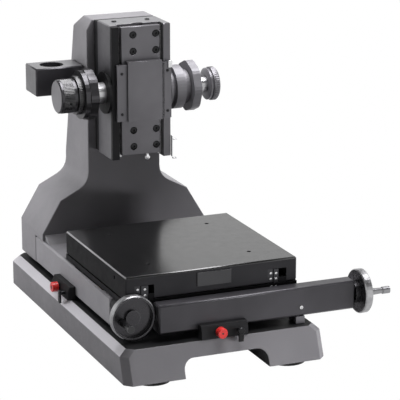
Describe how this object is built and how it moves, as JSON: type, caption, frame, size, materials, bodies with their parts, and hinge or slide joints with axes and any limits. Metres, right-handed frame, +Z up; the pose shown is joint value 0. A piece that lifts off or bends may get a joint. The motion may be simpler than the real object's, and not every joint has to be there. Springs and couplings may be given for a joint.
{
  "type": "measuring microscope stage",
  "caption": "Measuring microscope stand: cast base and column, rack and pinion Z focus unit, crossed-rail XY table moved by two crank handwheels.",
  "frame": {"origin": "middle of the overall footprint, on the surface that the rubber feet stand on", "axes": "+Z up, +Y away from the operator towards the column, +X to the operator's right, along the X drive beam"},
  "size_m": [0.3574, 0.44, 0.375],
  "materials": {
    "grey_paint": "fine-textured semi-matt grey paint on cast iron",
    "black_anodised": "black anodised, satin",
    "dark_anodised": "dark grey anodised, satin",
    "grey_anodised": "grey anodised, satin",
    "black_steel": "blackened steel",
    "bright_steel": "polished",
    "ground_steel": "ground steel",
    "bronze": "turned bronze",
    "rubber": "matt black rubber",
    "red_plastic": "glossy red plastic"
  },
  "bodies": {
    "stand": {"base_casting": "grey_paint", "deck_body": "grey_paint", "column_casting": "grey_paint", "seat_plate": "rubber", "foot_front_left": "rubber", "foot_front_right": "rubber", "foot_rear_left": "rubber", "foot_rear_right": "rubber", "holder_block": "grey_anodised", "z_body": "grey_anodised", "z_gib_strip": "black_anodised", "z_rail_left": "ground_steel", "z_rail_right": "ground_steel", "z_cover": "grey_anodised", "z_mounting_plate": "black_anodised", "focus_hub_left": "black_anodised", "focus_hub_right": "black_anodised", "beam_housing": "dark_anodised", "beam_bracket": "black_anodised", "beam_post": "black_anodised", "x_bearing_cap": "black_anodised", "y_bearing_housing": "black_anodised", "x_rail_front_fixed": "ground_steel", "x_rail_rear_fixed": "ground_steel", "front_clamp_body": "dark_anodised", "left_clamp_body": "dark_anodised"},
    "x_stage": {"x_carriage": "black_anodised", "x_nut": "bronze", "x_rail_front_moving": "ground_steel", "x_rail_rear_moving": "ground_steel", "y_rail_left_fixed": "ground_steel", "y_rail_right_fixed": "ground_steel"},
    "y_stage": {"top_table": "black_anodised", "y_rail_left_moving": "ground_steel", "y_rail_right_moving": "ground_steel", "label_plate": "dark_anodised", "y_follower": "ground_steel"},
    "y_nut": {"y_nut_carriage": "bronze"},
    "x_drive": {"x_screw": "ground_steel", "x_handwheel": "dark_anodised"},
    "x_crank": {"x_handle": "black_anodised"},
    "y_drive": {"y_screw": "ground_steel", "y_handwheel": "dark_anodised"},
    "y_crank": {"y_handle": "black_anodised"},
    "z_stage": {"z_slide": "grey_anodised", "z_plate_top": "grey_anodised", "z_plate_bottom": "grey_anodised", "z_rack": "ground_steel", "z_stop_pin": "bright_steel"},
    "coarse_drive": {"pinion_sleeve": "ground_steel", "coarse_knob_left": "black_anodised", "coarse_knob_right": "black_anodised"},
    "fine_drive": {"fine_shaft": "ground_steel", "fine_knob_left": "black_anodised", "fine_knob_right": "black_anodised"},
    "holder_clamp": {"holder_screw": "black_steel"},
    "front_knob": {"front_clamp_knob": "red_plastic"},
    "front_lever": {"front_clamp_lever": "black_steel"},
    "left_knob": {"left_clamp_knob": "red_plastic"},
    "left_lever": {"left_clamp_lever": "black_steel"}
  },
  "joints": [
    {"name": "x_travel", "type": "slide", "parent": "stand", "child": "x_stage", "axis": [1, 0, 0], "range_m": [-0.05, 0.05]},
    {"name": "y_travel", "type": "slide", "parent": "x_stage", "child": "y_stage", "axis": [0, 1, 0], "range_m": [-0.0035, 0.076]},
    {"name": "y_nut_travel", "type": "slide", "parent": "stand", "child": "y_nut", "axis": [0, 1, 0], "range_m": [-0.0035, 0.076]},
    {"name": "x_wheel_turn", "type": "hinge", "parent": "stand", "child": "x_drive", "pos_m": [0.14275, -0.184, 0.072], "axis": [1, 0, 0], "range_deg": [-905, 905]},
    {"name": "x_handle_spin", "type": "hinge", "parent": "x_drive", "child": "x_crank", "pos_m": [0.14675, -0.20099, 0.07469], "axis": [1, 0, 0], "continuous": true},
    {"name": "y_wheel_turn", "type": "hinge", "parent": "stand", "child": "y_drive", "pos_m": [-0.15035, -0.176, 0.0755], "axis": [0, 1, 0], "range_deg": [-1375, 68]},
    {"name": "y_handle_spin", "type": "hinge", "parent": "y_drive", "child": "y_crank", "pos_m": [-0.16304, -0.18, 0.07088], "axis": [0, 1, 0], "continuous": true},
    {"name": "z_travel", "type": "slide", "parent": "stand", "child": "z_stage", "axis": [0, 0, 1], "range_m": [-0.02, 0.02]},
    {"name": "coarse_turn", "type": "hinge", "parent": "stand", "child": "coarse_drive", "pos_m": [-0.04385, 0.084, 0.2862], "axis": [1, 0, 0], "range_deg": [-166, 166]},
    {"name": "fine_turn", "type": "hinge", "parent": "stand", "child": "fine_drive", "pos_m": [-0.04385, 0.084, 0.2862], "axis": [1, 0, 0], "range_deg": [-365, 365]},
    {"name": "holder_screw_turn", "type": "hinge", "parent": "stand", "child": "holder_clamp", "pos_m": [-0.13135, 0.1803, 0.29425], "axis": [0, 1, 0], "range_deg": [-360, 360]},
    {"name": "front_knob_turn", "type": "hinge", "parent": "stand", "child": "front_knob", "pos_m": [-0.04835, -0.2053, 0.052], "axis": [0, 1, 0], "range_deg": [-360, 360]},
    {"name": "front_lever_swing", "type": "hinge", "parent": "stand", "child": "front_lever", "pos_m": [-0.02385, -0.2053, 0.0515], "axis": [0, 1, 0], "range_deg": [-90, 90]},
    {"name": "left_knob_turn", "type": "hinge", "parent": "stand", "child": "left_knob", "pos_m": [-0.16965, 0.034, 0.052], "axis": [1, 0, 0], "range_deg": [-360, 360]},
    {"name": "left_lever_swing", "type": "hinge", "parent": "stand", "child": "left_lever", "pos_m": [-0.16965, 0.0095, 0.0515], "axis": [1, 0, 0], "range_deg": [-90, 90]}
  ],
  "couplings": [
    {"joint": "y_nut_travel", "follows": "y_travel", "ratio": 1},
    {"joint": "x_wheel_turn", "follows": "x_travel", "rad_per_m": -314.16},
    {"joint": "y_wheel_turn", "follows": "y_travel", "rad_per_m": -314.16},
    {"joint": "coarse_turn", "follows": "z_travel", "rad_per_m": -142.86},
    {"joint": "fine_turn", "follows": "z_travel", "rad_per_m": -314.16}
  ]
}
